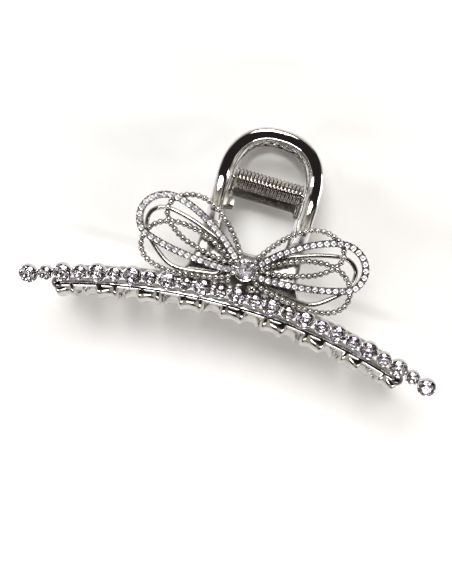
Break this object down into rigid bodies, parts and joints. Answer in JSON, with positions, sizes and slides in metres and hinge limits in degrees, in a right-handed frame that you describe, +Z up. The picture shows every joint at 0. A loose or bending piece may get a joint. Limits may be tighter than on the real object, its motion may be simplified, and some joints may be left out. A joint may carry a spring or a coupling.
{
  "type": "rhinestone hair clip",
  "caption": "Sprung metal claw hair clip with two curved toothed jaws, D-shaped finger handles, a curved strip of round crystals and an openwork butterfly ornament.",
  "frame": {"origin": "centre of the clip's footprint, at the level of the table it lies on", "axes": "+X along the hinge, +Y from the teeth towards the handles, +Z up from the table"},
  "size_m": [0.1102, 0.0572, 0.0347],
  "materials": {
    "plated_metal": "polished bright plating",
    "spring_wire": "bright plated wire",
    "crystal": "clear cut crystal with a faint lilac tint"
  },
  "bodies": {
    "back_jaw": {"back_jaw": "plated_metal", "hinge_pin": "plated_metal", "torsion_spring": "spring_wire"},
    "front_jaw": {"front_jaw": "plated_metal", "strip_cup_chain": "plated_metal", "strip_crystal_1": "crystal", "strip_crystal_2": "crystal", "strip_crystal_3": "crystal", "strip_crystal_4": "crystal", "strip_crystal_5": "crystal", "strip_crystal_6": "crystal", "strip_crystal_7": "crystal", "strip_crystal_8": "crystal", "strip_crystal_9": "crystal", "strip_crystal_10": "crystal", "strip_crystal_11": "crystal", "strip_crystal_12": "crystal", "strip_crystal_13": "crystal", "strip_crystal_14": "crystal", "strip_crystal_15": "crystal", "strip_crystal_16": "crystal", "strip_crystal_17": "crystal", "strip_crystal_18": "crystal", "strip_crystal_19": "crystal", "strip_crystal_20": "crystal", "strip_crystal_21": "crystal", "strip_crystal_22": "crystal", "strip_crystal_23": "crystal", "strip_crystal_24": "crystal", "strip_crystal_25": "crystal", "butterfly_casting": "plated_metal", "centre_setting": "plated_metal", "centre_crystal": "crystal", "left_wing_pave": "crystal", "right_wing_pave": "crystal"}
  },
  "joints": [
    {"name": "jaw_hinge", "type": "hinge", "parent": "back_jaw", "child": "front_jaw", "pos_m": [0, 0.0126, 0.01086], "axis": [-1, 0, 0], "range_deg": [0, 36], "stiffness_Nm_per_rad": 0.15, "springref_deg": -45.84, "deforming": ["torsion_spring"]}
  ]
}
